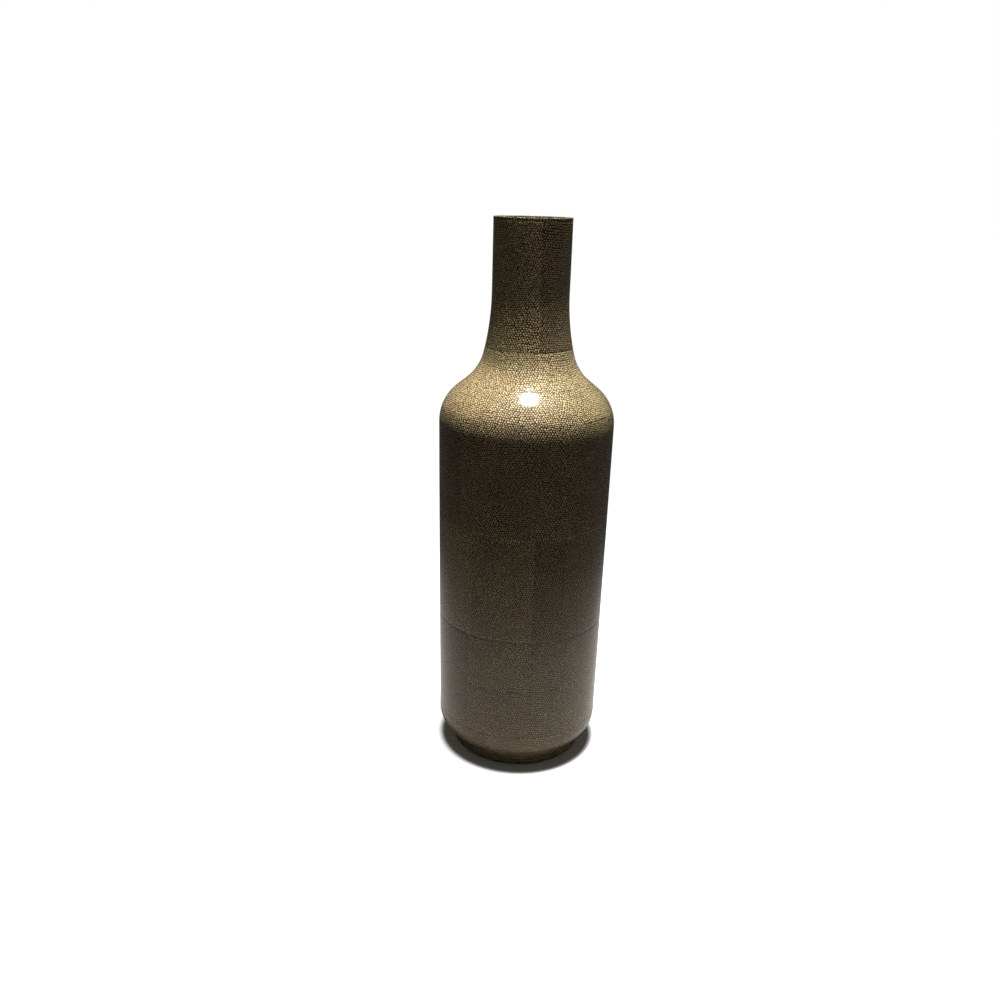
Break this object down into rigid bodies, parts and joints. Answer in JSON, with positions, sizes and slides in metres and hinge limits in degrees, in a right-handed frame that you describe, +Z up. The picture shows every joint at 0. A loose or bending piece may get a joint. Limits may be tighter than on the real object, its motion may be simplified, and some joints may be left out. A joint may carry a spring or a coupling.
{
  "type": "bottle vase",
  "caption": "Tall bottle vase with a straight neck and round shoulder, a turned core clad in butt-joined pebbled skin panels under clear lacquer, on a small recessed foot.",
  "frame": {"origin": "centre of the underside, where the felt meets the table", "axes": "+Z up along the vase's axis, from the felt to the mouth; the side shown in the picture faces -Y"},
  "size_m": [0.1204, 0.1204, 0.38],
  "materials": {
    "skin": "pebbled skin in pale beads on dark brown, under clear gloss lacquer",
    "core": "turned wood, stained dark inside",
    "felt": "dark wool felt"
  },
  "bodies": {
    "root": {"base_felt": "felt", "collar_panel_1": "skin", "collar_panel_2": "skin", "collar_panel_3": "skin", "collar_panel_4": "skin", "collar_panel_5": "skin", "collar_panel_6": "skin", "collar_panel_7": "skin", "collar_panel_8": "skin", "collar_panel_9": "skin", "core_barrel": "core", "core_base": "core", "core_neck": "core", "core_shoulder": "core", "foot_panel_1": "skin", "foot_panel_2": "skin", "foot_plinth": "core", "heel_panel_1": "skin", "heel_panel_2": "skin", "heel_panel_3": "skin", "heel_panel_4": "skin", "heel_panel_5": "skin", "heel_panel_6": "skin", "lower_panel_1_above": "skin", "lower_panel_1_below": "skin", "lower_panel_2_above": "skin", "lower_panel_2_below": "skin", "lower_panel_3": "skin", "lower_panel_4": "skin", "lower_panel_5": "skin", "lower_panel_6": "skin", "lower_panel_7": "skin", "lower_panel_8": "skin", "middle_panel_1": "skin", "middle_panel_2": "skin", "middle_panel_3": "skin", "middle_panel_4": "skin", "middle_panel_5": "skin", "middle_panel_6": "skin", "middle_panel_7": "skin", "middle_panel_8": "skin", "neck_panel_1": "skin", "neck_panel_2": "skin", "neck_panel_3": "skin", "rim_ring": "skin", "shoulder_panel_1": "skin", "shoulder_panel_2": "skin", "shoulder_panel_3": "skin", "shoulder_panel_4": "skin", "shoulder_panel_5": "skin", "shoulder_panel_6": "skin", "shoulder_panel_7": "skin", "upper_panel_1": "skin", "upper_panel_2": "skin", "upper_panel_3": "skin", "upper_panel_4": "skin", "upper_panel_5": "skin", "upper_panel_6": "skin", "upper_panel_7": "skin", "upper_panel_8": "skin"}
  },
  "joints": []
}
